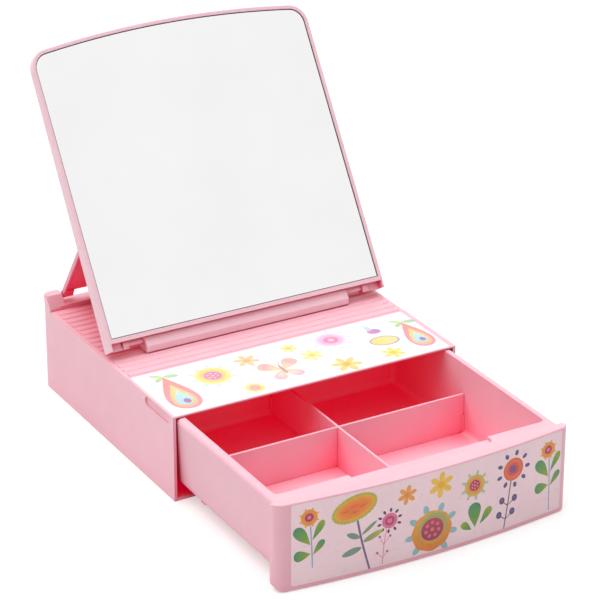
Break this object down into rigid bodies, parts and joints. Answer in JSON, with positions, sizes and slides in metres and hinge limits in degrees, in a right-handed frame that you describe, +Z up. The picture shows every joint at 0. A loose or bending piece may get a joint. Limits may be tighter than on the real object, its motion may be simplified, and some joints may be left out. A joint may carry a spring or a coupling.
{
  "type": "tabletop vanity box",
  "caption": "Tabletop vanity box with a pull-out drawer, lift-out drawer dividers and a tilting mirror panel that leans on a hinged stand leg.",
  "frame": {"origin": "centre of the case footprint, on the surface the case stands on", "axes": "+X to the right seen from the drawer side, +Y to the back, +Z up"},
  "size_m": [0.25, 0.4127, 0.2899],
  "materials": {
    "case_plastic": "satin moulded",
    "base_plastic": "fine matte",
    "top_print": "printed film",
    "drawer_plastic": "satin moulded",
    "front_print": "printed film",
    "divider_plastic": "satin moulded",
    "leg_plastic": "satin moulded",
    "pin_steel": "drawn wire",
    "frame_plastic": "satin moulded",
    "mirror": "silvered",
    "cover_plastic": "satin moulded",
    "foot_plastic": "satin moulded"
  },
  "bodies": {
    "case": {"case_shell": "case_plastic", "base_plate": "base_plastic", "top_label": "top_print", "leg_pin_left": "pin_steel", "leg_pin_right": "pin_steel"},
    "drawer": {"drawer_tray": "drawer_plastic", "drawer_label": "front_print", "cross_divider": "divider_plastic", "long_divider": "divider_plastic"},
    "leg": {"stand_leg": "leg_plastic", "mirror_pin_left": "pin_steel", "mirror_pin_right": "pin_steel"},
    "mirror": {"mirror_frame": "frame_plastic", "mirror_glass": "mirror", "mirror_back_cover": "cover_plastic"},
    "foot": {"foot_bar": "foot_plastic"}
  },
  "joints": [
    {"name": "drawer_slide", "type": "slide", "parent": "case", "child": "drawer", "axis": [0, 1, 0], "range_m": [-0.02, 0.1463]},
    {"name": "leg_hinge", "type": "hinge", "parent": "case", "child": "leg", "pos_m": [0, 0.109, 0.0795], "axis": [1, 0, 0], "range_deg": [-27, 10]},
    {"name": "mirror_pivot", "type": "hinge", "parent": "leg", "child": "mirror", "pos_m": [0, 0.05445, 0.15947], "axis": [1, 0, 0], "range_deg": [-20, 54]},
    {"name": "foot_bar_pivot", "type": "hinge", "parent": "mirror", "child": "foot", "pos_m": [0, -0.0001, 0.0795], "axis": [1, 0, 0], "range_deg": [-27, 10]}
  ],
  "couplings": [
    {"joint": "mirror_pivot", "follows": "leg_hinge", "ratio": -2},
    {"joint": "foot_bar_pivot", "follows": "leg_hinge", "ratio": 1}
  ]
}
